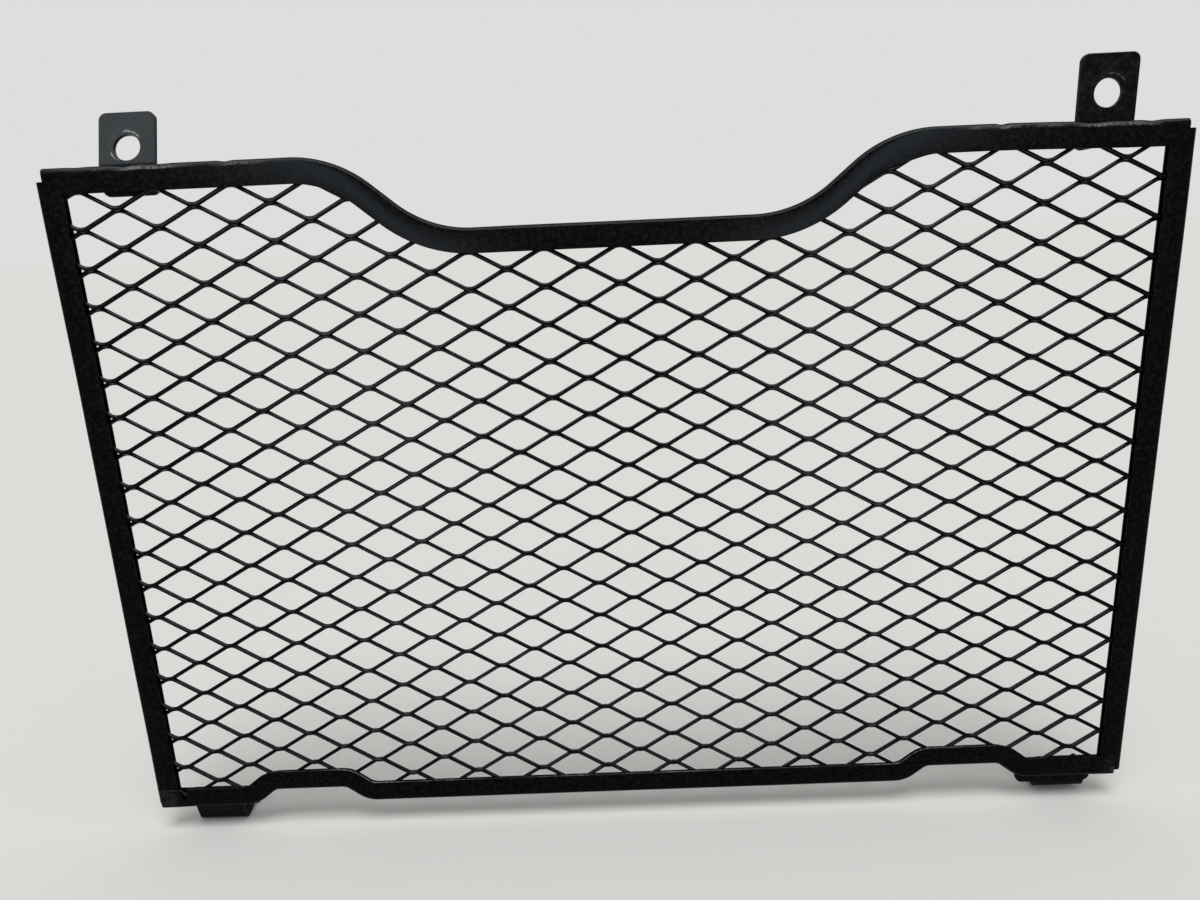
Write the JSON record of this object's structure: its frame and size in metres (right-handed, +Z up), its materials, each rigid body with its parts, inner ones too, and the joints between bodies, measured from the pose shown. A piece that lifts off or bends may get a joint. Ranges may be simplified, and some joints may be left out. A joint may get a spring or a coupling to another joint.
{
  "type": "motorcycle radiator guard",
  "caption": "Flat guard of expanded diamond mesh in a folded sheet frame, with drilled tabs above and bent hooks below, to shield a motorcycle's radiator from stones.",
  "frame": {"origin": "the middle of the upper right tab's hole, halfway through its sheet", "axes": "+Z up as fitted, +X to the right seen from the front, +Y backwards to the radiator"},
  "size_m": [0.2964, 0.0163, 0.213],
  "materials": {
    "mesh_paint": "satin black paint",
    "frame_paint": "satin black paint, mottled",
    "bracket_paint": "satin black paint, worn at the holes"
  },
  "bodies": {
    "root": {"mesh_panel": "mesh_paint", "top_rail": "frame_paint", "bottom_rail": "frame_paint", "left_rail": "frame_paint", "right_rail": "frame_paint", "upper_left_tab": "bracket_paint", "upper_right_tab": "bracket_paint", "lower_left_hook": "bracket_paint", "lower_right_hook": "bracket_paint"}
  },
  "joints": []
}
